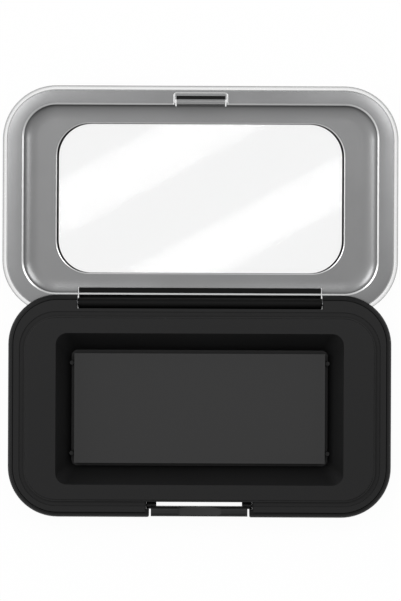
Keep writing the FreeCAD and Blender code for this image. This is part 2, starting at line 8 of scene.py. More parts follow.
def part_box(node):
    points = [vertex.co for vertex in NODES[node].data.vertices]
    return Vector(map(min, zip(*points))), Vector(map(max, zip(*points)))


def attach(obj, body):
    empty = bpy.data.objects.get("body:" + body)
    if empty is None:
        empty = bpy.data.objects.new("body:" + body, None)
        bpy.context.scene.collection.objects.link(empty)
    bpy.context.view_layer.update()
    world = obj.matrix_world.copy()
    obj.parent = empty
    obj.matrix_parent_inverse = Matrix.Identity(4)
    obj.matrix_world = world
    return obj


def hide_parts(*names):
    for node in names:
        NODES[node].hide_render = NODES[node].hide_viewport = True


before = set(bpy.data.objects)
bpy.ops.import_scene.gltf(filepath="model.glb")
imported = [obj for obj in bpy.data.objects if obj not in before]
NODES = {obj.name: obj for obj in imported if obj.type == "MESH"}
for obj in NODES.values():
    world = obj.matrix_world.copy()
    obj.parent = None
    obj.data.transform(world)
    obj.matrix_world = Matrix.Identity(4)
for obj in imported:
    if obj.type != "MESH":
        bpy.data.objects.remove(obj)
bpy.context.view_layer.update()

bl_info = {
    "name": "Wet palette looks",
    "version": (1, 0, 0),
    "blender": (4, 5, 0),
    "location": "View3D > Sidebar > Palette",
    "description": "Finishes, foam, sheet and studio for a hinged wet palette",
    "category": "Object",
}

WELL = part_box("foam_pad")
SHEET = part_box("palette_sheet")
FRAME_LOW, FRAME_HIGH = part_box("lid_frame")
BAR_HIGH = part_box("hinge_bar")[1]
SHELL_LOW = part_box("base_shell")[0]
RIM_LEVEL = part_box("lid_cover")[1].z
SAME_PLACE = 1e-6
SHARP_ANGLE = math.radians(14)
COVE_START = math.radians(20)

# Steps along corners, small roundings, the cove, the rim's nose and the foam's edges; cuts of foam and sheet
CORNER_STEPS = 14
ROUND_STEPS = 5
COVE_STEPS = 12
NOSE_STEPS = 48
FOAM_STEPS = 3
FOAM_CUTS = (46, 20)
SHEET_CUTS = (96, 44)

# Waves per metre in the foam's cut sides and along the sheet, and the slice of noise that the sheet takes
FOAM_WAVES = 900.0
SHEET_WAVES = (28.0, 22.0)
SHEET_SLICE = 0.4

# How far roughness wanders, a grain's depth against its size, which normals count as tilted and as upward
# for the painted chamfer highlight, how steeply the clear cover turns grey at a glancing angle, and how much
# paler the sheet's painted border highlight is
ROUGHNESS_SPREAD = 0.07
GRAIN_DEPTH = 0.12
TILTED, UPWARD = 0.98, 0.5
GLANCE_POWER = 3.0
# Painted highlight: how much paler the sheet's border is
EDGE_HIGHLIGHT_GAIN = 1.12

# Name, place along X and Y, and width of each thin lamp
STRIPS = (("near", 0.075, 0.145, 0.055), ("far", -0.06, 0.228, 0.06))


def colour(name, description, default):
    return bpy.props.FloatVectorProperty(
        name=name, description=description, default=default, size=3, min=0.0, max=1.0, subtype="COLOR")


def length(name, description, default):
    return bpy.props.FloatProperty(
        name=name, description=description, default=default, min=0.0, unit="LENGTH")


def position(name, description, default):
    return bpy.props.FloatProperty(name=name, description=description, default=default, unit="LENGTH")


def rotation(name, description, default):
    return bpy.props.FloatProperty(name=name, description=description, default=default, subtype="ANGLE")


def factor(name, description, default):
    return bpy.props.FloatProperty(
        name=name, description=description, default=default, min=0.0, max=1.0, subtype="FACTOR")


def amount(name, description, default, unit="NONE"):
    return bpy.props.FloatProperty(name=name, description=description, default=default, min=0.0, unit=unit)


class PaletteFinishes(bpy.types.PropertyGroup):
    """Colours and surface finishes."""

    shell: colour("Shell black", "Textured outer shell", (0.0078, 0.0078, 0.008))
    deck: colour("Deck black", "Satin deck and well", (0.0084, 0.0084, 0.0086))
    lever: colour("Lever black", "Latch lever", (0.0105, 0.0105, 0.0107))
    # Painted highlight: paler colour for the patch in the lever's scoop
    scoop_highlight: colour("Thumb patch", "Worn patch in the lever's scoop", (0.021, 0.021, 0.0213))
    hinge: colour("Hinge black", "Hinge bar", (0.004, 0.004, 0.004))
    silver: colour("Frame silver", "Silver-grey lid frame", (0.214, 0.215, 0.217))
    # Painted highlight: the brighter colour painted on the frame's chamfers and edges
    silver_edge_highlight: colour("Silver edge", "Brighter metal on the frame's edges", (0.5, 0.501, 0.503))
    seal: colour("Seal black", "Silicone ring", (0.008, 0.008, 0.008))
    foam: colour("Foam grey", "Open-cell foam", (0.018, 0.018, 0.0185))
    sheet: colour("Sheet grey", "Palette membrane", (0.02, 0.02, 0.0202))
    clear: colour("Cover clear", "Tint of the clear cover", (0.2, 0.204, 0.206))
    steel: colour("Steel", "Pins and springs", (0.58, 0.58, 0.6))
    grain: length("Moulded grain", "Size of the grain on the shell", 0.00035)
    fine_grain: length("Fine grain", "Size of the grain on the deck, hinge and lever", 0.00028)
    frame_grain: length("Frame grain", "Size of the grain on the silver frame", 0.00021)
    clear_roughness: factor("Clear roughness", "Haze of the clear cover", 0.035)
    clear_scuff: factor("Clear scuffs", "Added haze of the cover's scuffs", 0.06)
    clear_satin: factor("Clear satin", "Added haze outside the window", 0.3)
    clear_facing: factor("Cover seen square on", "How much of the clear cover shows square on", 0.06)
    clear_edge: factor("Cover seen edge on", "How much of the clear cover shows at a glancing angle", 1.0)


class PaletteLid(bpy.types.PropertyGroup):
    """Sizes of the lid's silver frame and of the small pieces round it."""

    flange: length("Flange", "Thickness of the frame's flange", 0.0015)
    frame_corner: length("Frame corner", "Corner radius of the frame", 0.02395)
    frame_edge: length("Frame edge", "Rounding of the frame's outer edge", 0.0005)
    recess_side: length("Side flange", "Width of the flange at the sides", 0.008)
    recess_rear: length("Rear flange", "Width of the flange at the hinge", 0.00815)
    recess_front: length("Front flange", "Width of the flange at the catch", 0.00715)
    recess_corner: length("Recess corner", "Corner radius of the recess", 0.0158)
    chamfer: length("Chamfer", "Width of the chamfer where the flange turns down", 0.0008)
    chamfer_drop: length("Chamfer drop", "How far that chamfer falls", 0.00025)
    upright: length("Upright", "Straight wall under the chamfer", 0.0045)
    cove: length("Cove", "Width of the hollow between wall and floor", 0.0072)
    wall: length("Wall", "Thickness of the recess wall", 0.0015)
    floor: length("Floor", "Thickness of the recess floor", 0.0014)
    window_side: length("Window side", "Recess floor beside the window", 0.0157)
    window_rear: length("Window rear", "Recess floor between window and hinge", 0.0097)
    window_front: length("Window front", "Recess floor between window and catch", 0.0086)
    window_corner: length("Window corner", "Corner radius of the window", 0.0158)
    window_chamfer: length("Window chamfer", "Width of the chamfer round the window", 0.0005)
    window_drop: length("Window chamfer drop", "How far that chamfer falls", 0.00016)
    # The window seam is a sealing bead and also a painted shade line: wide at the sides, narrow at the ends
    seam: length("Window seam", "Width of the dark seam at the window's sides", 0.0009)
    seam_end: length("Window seam ends", "Width of that seam at the hinge and the catch", 0.0002)
    seam_height: length("Window seam height", "Height of that seam", 0.0004)
    tongue: length("Tongue", "Length of the catch tongue", 0.0235)
    tongue_thickness: length("Tongue thickness", "Thickness of the catch tongue", 0.0015)
    tongue_gap: length("Tongue gap", "From the recess to the catch tongue", 0.00005)
    tongue_edge: length("Tongue edge", "Rounding of the catch tongue", 0.0003)
    slot_set_back: length("Slot set-back", "Flange between the tongue and the slot", 0.0011)
    slot_width: length("Slot width", "Width of the catch slot", 0.0017)
    # The slot's black lining is painted shade in the deep catch slot
    slot_shade_lap: length("Lining lap", "How far the slot's lining reaches past the slot", 0.000375)
    slot_shade_edge: length("Lining edge", "Rounding of that lining", 0.0002)
    slit: length("Slit", "Width of the slits at the tongue's ends", 0.0006)
    bead: length("Bead", "Width of the raised bead round the catch", 0.0009)
    bead_height: length("Bead height", "Height of that bead", 0.00014)
    lip: length("Lip", "Strip of frame over the hinge bar", 0.0008)
    end_gap: length("End gap", "Gap at each end of the hinge bar", 0.0004)
    foot_top: length("Foot top", "Level of the way for the hinge bar's foot", 0.0057)


class PaletteShelf(bpy.types.PropertyGroup):
    """Shelf of the rim under the hinge barrel."""

    front: length("Front", "Where the shelf leaves the pocket's wall", 0.0467)
    width: length("Width", "How far the shelf reaches under the barrel", 0.0016)
    level: length("Level", "Height of the shelf's top", 0.0111)
    thickness: length("Thickness", "Thickness of the shelf", 0.001)
    edge: length("Edge", "Rounding of the shelf's edges", 0.0002)


class PaletteCheek(bpy.types.PropertyGroup):
    """Cheeks of the rim at the ends of the latch notch."""

    inner: length("Inner end", "From the middle to the cheek", 0.0241)
    outer: length("Outer end", "From the middle to the notch's end", 0.02605)
    radius: length("Radius", "Radius of the rim's nose", 0.004)
    corner: length("Corner", "Rounding of the cheek's inner end", 0.0008)
    depth: length("Depth", "How far the cheek reaches in from the rim's front", 0.0037)
    notch: length("Notch", "Depth of the latch notch", 0.0075)
    liner: length("Liner", "From the middle to the thin liner behind the cheek", 0.0255)
    liner_edge: length("Liner edge", "Rounding of that liner's edges", 0.0001)
    low: length("Low", "Underside of that liner", 0.0103)
    high: length("High", "Top of that liner", 0.0175)
    level: length("Level", "Height of the nose's middle", 0.014)


class PaletteScoopHighlight(bpy.types.PropertyGroup):
    """Paler patch painted in the latch lever's scoop: a painted highlight."""

    across: position("Across", "Middle of the patch along X", 0.0005)
    back: length("Back", "From the lever's front to the middle of the patch", 0.0031)
    half_length: length("Half length", "Half the patch's length", 0.0103)
    half_width: length("Half width", "Half the patch's width", 0.0023)
    border: length("Border", "Width over which the patch fades", 0.0008)


class PaletteSoft(bpy.types.PropertyGroup):
    """Sizes of the foam and the sheet."""

    edge: length("Foam edge", "Rounding of the foam's cut edges", 0.0008)
    uneven: length("Foam unevenness", "How far the foam's cut sides wander", 0.00006)
    crown: length("Foam crown", "How far the foam's middle stands over its edges", 0.00025)
    ripple: length("Sheet ripple", "Height of the sheet's soft ripples", 0.00008)
    gauge: length("Sheet gauge", "Thickness of the sheet", 0.0002)


class PaletteStudio(bpy.types.PropertyGroup):
    """Camera, floor and lamps."""

    distance: length("Camera distance", "Height of the camera over the deck", 1.2)
    deck_level: length("Deck level", "Height of the deck", 0.015)
    frame_height: length("Frame height", "Height of the picture at the deck", 0.2885)
    aim_x: position("Aim X", "Middle of the picture along X", 0.00024)
    aim_y: position("Aim Y", "Middle of the picture along Y", 0.0507)
    turn: rotation("Turn", "Turn of the picture", math.radians(0.25))
    floor: colour("Floor", "Colour of the floor", (0.9, 0.9, 0.9))
    floor_size: length("Floor size", "Half the floor's width", 4.0)
    floor_drop: length("Floor drop", "How far the floor lies under the palette", 0.0003)
    key: amount("Key lamps", "Power of each key lamp", 2.5, unit="POWER")
    key_size: length("Key size", "Width of each key lamp", 0.5)
    key_across: length("Key across", "From the middle to each key lamp", 0.45)
    key_rear: length("Key rear", "How far to the rear the key lamps stand", 0.43)
    key_height: length("Key height", "Height of the key lamps", 1.13)
    strip: amount("Strip lamps", "Power of each thin lamp over the window", 3.0, unit="POWER")
    strip_length: length("Strip length", "Length of the thin lamps", 0.7)
    strip_height: length("Strip height", "Height of the thin lamps", 1.9)
    strip_turn: rotation("Strip turn", "Turn of the thin lamps", math.radians(28.7))
    zenith: amount("Overhead", "Strength of the light from above", 1.05)
    middle: factor("Middle", "Strength of the light halfway up", 0.24)
    horizon: amount("Horizon", "Strength of the light from low down", 1.3)
    sides: factor("Sides", "Strength of the light from the left and right", 0.8)
    front: factor("Front", "Share of the light from the front", 0.58)
    lean: factor("Lean", "How much the light overhead falls off towards the right", 0.2)
    white: factor("Floor white", "How much of the floor's own white is seen", 0.96)


# Shader helpers

def add(tree, kind, **values):
    """Add a node and set its inputs by name, or its own settings."""
    node = tree.nodes.new(kind)
    for name, value in values.items():
        socket = next((s for s in node.inputs if s.name == name.replace("_", " ")), None)
        if socket is not None and not hasattr(node, name):
            socket.default_value = value
        else:
            setattr(node, name, value)
    return node


def join(tree, source, output, target, socket):
    tree.links.new(source.outputs[output], target.inputs[socket])


def feed(tree, given, socket):
    """Link a socket to an input, or set the input to a value."""
    if isinstance(given, bpy.types.NodeSocket):
        tree.links.new(given, socket)
    else:
        socket.default_value = given


def maths(tree, operation, *given, clamp=False):
    """Result of a sum on sockets and numbers."""
    node = add(tree, "ShaderNodeMath", operation=operation, use_clamp=clamp)
    for value, socket in zip(given, node.inputs):
        feed(tree, value, socket)
    return node.outputs[0]


def spread_value(tree, source, low, high, start=0.0, end=1.0):
    """Value that goes from low to high while the source goes from start to end."""
    node = add(tree, "ShaderNodeMapRange", From_Min=start, From_Max=end, To_Min=low, To_Max=high)
    feed(tree, source, node.inputs["Value"])
    return node.outputs[0]


def mix_colour(tree, share, first, second):
    """Colour between two, each a socket or three channels."""
    mix = add(tree, "ShaderNodeMix", data_type="RGBA")
    feed(tree, share, mix.inputs[0])
    # Inputs 6 and 7 and output 2 are the node's colour sockets
    for given, socket in ((first, mix.inputs[6]), (second, mix.inputs[7])):
        feed(tree, given if isinstance(given, bpy.types.NodeSocket) else (*given, 1.0), socket)
    return mix.outputs[2]


def new_group(name, inputs, outputs):
    """Node group with named float or vector inputs and float outputs."""
    tree = bpy.data.node_groups.new(name, "ShaderNodeTree")
    for label, kind, default in inputs:
        socket = tree.interface.new_socket(label, in_out="INPUT", socket_type=kind)
        if default is not None:
            socket.default_value = default
    for label in outputs:
        tree.interface.new_socket(label, in_out="OUTPUT", socket_type="NodeSocketFloat")
    return tree, tree.nodes.new("NodeGroupInput"), tree.nodes.new("NodeGroupOutput")


def moulded_grain():
    """Fine eroded grain for a bump, and a broad slow tone for colour and roughness."""
    if "moulded_grain" in bpy.data.node_groups:
        return bpy.data.node_groups["moulded_grain"]
    tree, given, result = new_group(
        "moulded_grain", [("Vector", "NodeSocketVector", None), ("Scale", "NodeSocketFloat", None)],
        ["Height", "Tone"])
    pits = add(tree, "ShaderNodeTexVoronoi", feature="SMOOTH_F1")
    fine = add(tree, "ShaderNodeTexNoise", Detail=3.0, Roughness=0.6)
    for texture in (pits, fine):
        join(tree, given, "Vector", texture, "Vector")
        join(tree, given, "Scale", texture, "Scale")
    height = maths(tree, "ADD", pits.outputs["Distance"], fine.outputs[0])
    feed(tree, height, result.inputs["Height"])
    broad = add(tree, "ShaderNodeTexNoise", Scale=38.0, Detail=4.0, Roughness=0.55)
    join(tree, given, "Vector", broad, "Vector")
    join(tree, broad, 0, result, "Tone")
    return tree


def hairline_scuffs():
    """Sparse fine scuffs from handling, as a mask."""
    if "hairline_scuffs" in bpy.data.node_groups:
        return bpy.data.node_groups["hairline_scuffs"]
    tree, given, result = new_group(
        "hairline_scuffs", [("Vector", "NodeSocketVector", None), ("Scale", "NodeSocketFloat", 60.0)],
        ["Mask"])
    turned = add(tree, "ShaderNodeMapping")
    turned.inputs["Rotation"].default_value = (0.0, 0.0, math.radians(32))
    turned.inputs["Scale"].default_value = (1.0, 14.0, 1.0)
    join(tree, given, "Vector", turned, "Vector")
    streak = add(tree, "ShaderNodeTexNoise", Detail=6.0, Roughness=0.7)
    join(tree, turned, "Vector", streak, "Vector")
    join(tree, given, "Scale", streak, "Scale")
    thin = spread_value(tree, streak.outputs[0], 0.0, 1.0, start=0.62, end=0.72)
    feed(tree, thin, result.inputs["Mask"])
    return tree


def border_mask():
    """Mask that rises from 0 to 1 over the border of a rectangle."""
    if "border_mask" in bpy.data.node_groups:
        return bpy.data.node_groups["border_mask"]
    tree, given, result = new_group(
        "border_mask", [("Vector", "NodeSocketVector", None), ("Middle", "NodeSocketVector", None),
                        ("Half", "NodeSocketVector", None), ("Width", "NodeSocketFloat", None)], ["Mask"])
    shifted = add(tree, "ShaderNodeVectorMath", operation="SUBTRACT")
    join(tree, given, "Vector", shifted, 0)
    join(tree, given, "Middle", shifted, 1)
    away = add(tree, "ShaderNodeVectorMath", operation="ABSOLUTE")
    join(tree, shifted, 0, away, 0)
    beyond = add(tree, "ShaderNodeVectorMath", operation="SUBTRACT")
    join(tree, away, 0, beyond, 0)
    join(tree, given, "Half", beyond, 1)
    axes = tree.nodes.new("ShaderNodeSeparateXYZ")
    join(tree, beyond, 0, axes, "Vector")
    nearest = maths(tree, "MAXIMUM", axes.outputs["X"], axes.outputs["Y"])
    share = maths(tree, "DIVIDE", nearest, given.outputs["Width"])
    feed(tree, maths(tree, "ADD", share, 1.0, clamp=True), result.inputs["Mask"])
    return tree


def place_group(tree, group, **values):
    node = tree.nodes.new("ShaderNodeGroup")
    node.node_tree = group
    for name, value in values.items():
        node.inputs[name].default_value = value
    return node


def border_share(tree, place, middle, half, width):
    """The border mask on object coordinates."""
    node = place_group(tree, border_mask(), Middle=middle, Half=half, Width=width)
    join(tree, place, "Object", node, "Vector")
    return node.outputs["Mask"]


def new_material(name):
    material = bpy.data.materials.new(name)
    material.use_nodes = True
    tree = material.node_tree
    tree.nodes.clear()
    output = tree.nodes.new("ShaderNodeOutputMaterial")
    shader = tree.nodes.new("ShaderNodeBsdfPrincipled")
    join(tree, shader, "BSDF", output, "Surface")
    place = tree.nodes.new("ShaderNodeTexCoord")
    return material, tree, shader, place, output


def base_colour(material):
    """Base colour input of a material's shader, and the socket that feeds it."""
    shader = next(node for node in material.node_tree.nodes if node.type == "BSDF_PRINCIPLED")
    target = shader.inputs["Base Color"]
    return target, target.links[0].from_socket


def add_relief(tree, shader, height, strength, distance):
    """Bump on a shader."""
    relief = add(tree, "ShaderNodeBump", Strength=strength, Distance=distance)
    feed(tree, height, relief.inputs["Height"])
    join(tree, relief, "Normal", shader, "Normal")


def tone_colour(tree, tone, base, spread):
    """Colour that wanders a little about its base with the tone."""
    darker = [channel * (1.0 - spread) for channel in base]
    lighter = [min(1.0, channel * (1.0 + spread)) for channel in base]
    return mix_colour(tree, tone, darker, lighter)


def moulding(name, base, grain, roughness, bump, spread=0.1, scuff=0.1, metallic=0.0, specular=0.22):
    """Moulded plastic with eroded grain, slow tone and sparse scuffs."""
    material, tree, shader, place, _ = new_material(name)
    surface = place_group(tree, moulded_grain(), Scale=1.0 / grain)
    join(tree, place, "Object", surface, "Vector")
    scuffs = place_group(tree, hairline_scuffs())
    join(tree, place, "Object", scuffs, "Vector")
    tone = surface.outputs["Tone"]
    feed(tree, tone_colour(tree, tone, base, spread), shader.inputs["Base Color"])
    slow = spread_value(tree, tone, roughness - ROUGHNESS_SPREAD, roughness + ROUGHNESS_SPREAD)
    worn = spread_value(tree, scuffs.outputs["Mask"], 0.0, scuff)
    feed(tree, maths(tree, "SUBTRACT", slow, worn, clamp=True), shader.inputs["Roughness"])
    add_relief(tree, shader, surface.outputs["Height"], strength=bump, distance=grain * GRAIN_DEPTH)
    shader.inputs["Metallic"].default_value = metallic
    shader.inputs["Specular IOR Level"].default_value = specular
    return material


def paint_edge_highlight(material, edge, floor, level):
    """Painted highlight: brighter metal painted into the base colour on what is tilted up below the floor or
    over a level, the chamfers.
    """
    tree = material.node_tree
    target, plain = base_colour(material)
    place = tree.nodes.new("ShaderNodeTexCoord")
    heights = []
    for output in ("Normal", "Object"):
        axes = tree.nodes.new("ShaderNodeSeparateXYZ")
        join(tree, place, output, axes, "Vector")
        heights.append(axes.outputs["Z"])
    facing, height = heights
    tilted = maths(tree, "MULTIPLY", maths(tree, "LESS_THAN", facing, TILTED),
                   maths(tree, "GREATER_THAN", facing, UPWARD))
    within = maths(tree, "ADD", maths(tree, "LESS_THAN", height, floor),
                   maths(tree, "GREATER_THAN", height, level))
    feed(tree, mix_colour(tree, maths(tree, "MULTIPLY", tilted, within), plain, edge), target)


def paint_scoop_highlight(material, worn, scoop_highlight):
    """Painted highlight: paler plastic over a patch in the lever's scoop."""
    tree = material.node_tree
    target, plain = base_colour(material)
    place = tree.nodes.new("ShaderNodeTexCoord")
    outside = border_share(tree, place, (scoop_highlight.across, SHELL_LOW.y + scoop_highlight.back, 0.0),
                           (scoop_highlight.half_length, scoop_highlight.half_width, 0.0), scoop_highlight.border)
    feed(tree, mix_colour(tree, outside, worn, plain), target)


def drawn_steel(name, base):
    """Steel with fine lines along the wire."""
    material, tree, shader, place, _ = new_material(name)
    stretch = add(tree, "ShaderNodeMapping")
    stretch.inputs["Scale"].default_value = (60.0, 4000.0, 4000.0)
    join(tree, place, "Object", stretch, "Vector")
    lines = add(tree, "ShaderNodeTexNoise", Scale=1.0, Detail=3.0)
    join(tree, stretch, "Vector", lines, "Vector")
    feed(tree, tone_colour(tree, lines.outputs[0], base, spread=0.15), shader.inputs["Base Color"])
    feed(tree, spread_value(tree, lines.outputs[0], low=0.22, high=0.42), shader.inputs["Roughness"])
    add_relief(tree, shader, lines.outputs[0], strength=0.2, distance=0.00002)
    shader.inputs["Metallic"].default_value = 1.0
    return material


def clear_plastic(name, base, look, window):
    """Clear cover: nearly unseen square on, grey at a glancing angle, scuffed, satin outside the window."""
    material, tree, shader, place, _ = new_material(name)
    scuffs = place_group(tree, hairline_scuffs(), Scale=45.0)
    join(tree, place, "Object", scuffs, "Vector")
    polished = spread_value(tree, scuffs.outputs["Mask"], look.clear_roughness,
                            look.clear_roughness + look.clear_scuff)
    half, low, high, corner = window
    reach = corner / 3
    outside = border_share(tree, place, (0.0, (low + high) / 2, 0.0),
                           (half + reach, (high - low) / 2 + reach, 0.0), reach / 2)
    feed(tree, maths(tree, "MULTIPLY_ADD", outside, look.clear_satin, polished), shader.inputs["Roughness"])
    shader.inputs["Base Color"].default_value = (*base, 1.0)
    shader.inputs["IOR"].default_value = 1.49
    angle = add(tree, "ShaderNodeLayerWeight", Blend=0.5)
    steep = maths(tree, "POWER", angle.outputs["Facing"], GLANCE_POWER)
    feed(tree, spread_value(tree, steep, look.clear_facing, look.clear_edge), shader.inputs["Alpha"])
    return material


def open_foam(name, base):
    """Open-cell foam: round cells of two sizes."""
    material, tree, shader, place, _ = new_material(name)
    cells = add(tree, "ShaderNodeTexVoronoi", Scale=1500.0)
    join(tree, place, "Object", cells, "Vector")
    pores = add(tree, "ShaderNodeTexNoise", Scale=420.0, Detail=5.0, Roughness=0.65)
    join(tree, place, "Object", pores, "Vector")
    both = maths(tree, "MULTIPLY", cells.outputs["Distance"], pores.outputs[0])
    feed(tree, tone_colour(tree, pores.outputs[0], base, spread=0.35), shader.inputs["Base Color"])
    add_relief(tree, shader, both, strength=0.8, distance=0.0004)
    shader.inputs["Roughness"].default_value = 0.9
    shader.inputs["Specular IOR Level"].default_value = 0.2
    return material


def membrane(name, base, middle, half):
    """Smooth sheet whose border is painted a little paler: a painted highlight along its edges."""
    material, tree, shader, place, _ = new_material(name)
    edge = border_share(tree, place, middle, half, width=0.0016)
    fibre = add(tree, "ShaderNodeTexNoise", Scale=900.0, Detail=4.0)
    join(tree, place, "Object", fibre, "Vector")
    plain = tone_colour(tree, fibre.outputs[0], base, spread=0.1)
    # Painted highlight: the paler colour along the sheet's border
    paler = [min(1.0, channel * EDGE_HIGHLIGHT_GAIN) for channel in base]
    feed(tree, mix_colour(tree, edge, plain, paler), shader.inputs["Base Color"])
    feed(tree, spread_value(tree, fibre.outputs[0], low=0.5, high=0.66), shader.inputs["Roughness"])
    add_relief(tree, shader, fibre.outputs[0], strength=0.12, distance=0.00006)
    shader.inputs["Specular IOR Level"].default_value = 0.3
    return material


# Mesh helpers

def wear(node, material):
    """Give a CAD node its finish."""
    if node not in NODES:
        raise RuntimeError(f"{node} is missing from the frame")
    mesh = NODES[node].data
    mesh.materials.clear()
    mesh.materials.append(material)


def shade(mesh):
    """Smooth shading that keeps the sharp edges."""
    for face in mesh.polygons:
        face.use_smooth = True
    mesh.set_sharp_from_angle(angle=SHARP_ANGLE)


def new_piece(name, shape, material):
    """Object at the origin from a bmesh."""
    mesh = bpy.data.meshes.new(name)
    bmesh.ops.recalc_face_normals(shape, faces=shape.faces)
    shape.to_mesh(mesh)
    shape.free()
    mesh.materials.append(material)
    piece = bpy.data.objects.new(name, mesh)
    bpy.context.scene.collection.objects.link(piece)
    shade(mesh)
    return piece


def span(low, high):
    """Size and middle of a box."""
    return high - low, (high + low) / 2


def bevel(shape, geom, offset, segments, affect="EDGES"):
    """Round edges or corners."""
    bmesh.ops.bevel(shape, geom=geom, offset=offset, offset_type="OFFSET", segments=segments, profile=0.5,
                    affect=affect, material=-1)


def trim(shape, level, **cleared):
    """Cut a closed shape across Y, clear one side and close the cut."""
    bmesh.ops.bisect_plane(shape, geom=shape.verts[:] + shape.edges[:] + shape.faces[:],
                           plane_co=(0.0, level, 0.0), plane_no=(0.0, 1.0, 0.0), **cleared)
    bmesh.ops.holes_fill(shape, edges=[edge for edge in shape.edges if edge.is_boundary])


def block(low, high, edge=0.0, segments=2):
    """Box between two corners, its edges rounded."""
    size, middle = span(Vector(low), Vector(high))
    shape = bmesh.new()
    bmesh.ops.create_cube(shape, size=1.0, matrix=Matrix.Translation(middle) @ Matrix.Diagonal((*size, 1.0)))
    if edge:
        bevel(shape, shape.edges[:], edge, segments)
    return shape


def ring(shape, outline, inset, level):
    """Closed loop of edges: a rounded rectangle set in from an outline, at a level."""
    half, low, high, corner = outline
    known = set(shape.faces)
    places = ((inset - half, low + inset), (half - inset, low + inset),
              (half - inset, high - inset), (inset - half, high - inset))
    corners = [shape.verts.new((x, y, level)) for x, y in places]
    shape.faces.new(corners)
    bevel(shape, corners, corner - inset, CORNER_STEPS, affect="VERTICES")
    face = next(face for face in shape.faces if face not in known)
    edges = face.edges[:]
    shape.faces.remove(face)
    return edges


def hoop(stations):
    """Closed hoop through rounded rectangles, the last joined to the first."""
    shape = bmesh.new()
    for station, following in zip(stations, stations[1:] + stations[:1]):
        loops = ring(shape, *station) + ring(shape, *following)
        bmesh.ops.bridge_loops(shape, edges=loops)
    bmesh.ops.remove_doubles(shape, verts=shape.verts, dist=SAME_PLACE)
    return shape


def quarter(steps, start=0.0):
    """Cosine and sine along a quarter turn, or along its end."""
    turns = [start + (math.pi / 2 - start) * step / steps for step in range(steps + 1)]
    return [(math.cos(turn), math.sin(turn)) for turn in turns]


def carve(piece, operation, shape):
    """Cut a shape from a piece, or fuse it on."""
    tool = new_piece("tool", shape, piece.data.materials[0])
    change = piece.modifiers.new("change", "BOOLEAN")
    change.operation = operation
    change.solver = "EXACT"
    change.object = tool
    graph = bpy.context.evaluated_depsgraph_get()
    piece.data = bpy.data.meshes.new_from_object(piece.evaluated_get(graph))
    piece.modifiers.clear()
    bpy.data.objects.remove(tool)


def lid_outlines(lid):
    """Half length, rear, front and corner radius of the frame, its recess and its window."""
    edge = (FRAME_HIGH.x, FRAME_LOW.y, FRAME_HIGH.y, lid.frame_corner)
    recess = (edge[0] - lid.recess_side, edge[1] + lid.recess_rear, edge[2] - lid.recess_front,
              lid.recess_corner)
    window = (recess[0] - lid.window_side, recess[1] + lid.window_rear, recess[2] - lid.window_front,
              lid.window_corner)
    return edge, recess, window


def frame_dish(lid):
    """The frame's flange, chamfered recess, coved wall and floor round the window, as one closed hoop."""
    edge, recess, window = lid_outlines(lid)
    under = RIM_LEVEL - lid.flange
    floor = FRAME_LOW.z + lid.floor
    cove_top = RIM_LEVEL - lid.chamfer_drop - lid.upright
    stations = [(edge, 0.0, under)]
    stations += [(edge, lid.frame_edge * (1 - c), RIM_LEVEL - lid.frame_edge * (1 - s))
                 for c, s in quarter(ROUND_STEPS)]
    stations += [(recess, -lid.chamfer, RIM_LEVEL), (recess, 0.0, RIM_LEVEL - lid.chamfer_drop)]
    stations += [(recess, lid.cove * (math.cos(COVE_START) - c), cove_top - (cove_top - floor) * s)
                 for c, s in quarter(COVE_STEPS, COVE_START)]
    stations += [(window, -lid.window_chamfer, floor), (window, 0.0, floor - lid.window_drop),
                 (window, 0.0, FRAME_LOW.z)]
    stations += [(recess, (lid.cove + lid.wall) * (1 - c) - lid.wall, cove_top - (cove_top - FRAME_LOW.z) * s)
                 for c, s in reversed(quarter(ROUND_STEPS))]
    stations += [(recess, -lid.wall, under)]
    return hoop(stations)


def catch_places(lid):
    """Where the catch tongue, its slot and the bead round them lie along Y."""
    near = lid_outlines(lid)[1][2] + lid.tongue_gap
    far = near + lid.tongue_thickness
    slot = far + lid.slot_set_back
    return near, far, slot, slot + lid.slot_width


def catch_bead(lid):
    """Raised bead on three sides of the catch."""
    near, _, _, slot_end = catch_places(lid)
    half = lid.tongue / 2 + lid.slit + lid.bead
    outline = (half, near - half, slot_end + 2 * lid.bead, 2 * lid.bead)
    top = RIM_LEVEL + lid.bead_height
    foot = RIM_LEVEL - lid.bead_height
    shape = hoop([(outline, 0.0, foot), (outline, 0.0, RIM_LEVEL), (outline, lid.bead / 2, top),
                  (outline, lid.bead, RIM_LEVEL), (outline, lid.bead, foot)])
    trim(shape, near, clear_inner=True)
    return shape


def silver_frame(lid, material):
    """The lid's frame with its catch, and the way for the hinge bar cut out."""
    piece = new_piece("silver_frame", frame_dish(lid), material)
    _, recess, _ = lid_outlines(lid)
    near, far, slot, slot_end = catch_places(lid)
    half = lid.tongue / 2
    under = RIM_LEVEL - lid.flange
    over = FRAME_HIGH.z + lid.flange
    carve(piece, "UNION", catch_bead(lid))
    for side in (-1, 1):
        left, right = sorted((side * half, side * (half + lid.slit)))
        low = (left, recess[2] - lid.slit, FRAME_LOW.z + lid.floor)
        carve(piece, "DIFFERENCE", block(low, (right, slot, over)))
    carve(piece, "DIFFERENCE", block((-half, slot, under - lid.wall), (half, slot_end, over)))
    carve(piece, "UNION", block((-half, near, under), (half, far, FRAME_HIGH.z), lid.tongue_edge))
    bar_half = BAR_HIGH.x + lid.end_gap
    behind = FRAME_LOW.y - lid.wall
    below = FRAME_LOW.z - lid.wall
    carve(piece, "DIFFERENCE", block((-bar_half, behind, below), (bar_half, recess[1] - lid.lip, over)))
    carve(piece, "DIFFERENCE", block((-bar_half, recess[1], below), (bar_half, BAR_HIGH.y, over)))
    carve(piece, "DIFFERENCE", block((-bar_half, behind, below), (bar_half, BAR_HIGH.y, lid.foot_top)))
    shade(piece.data)
    return piece


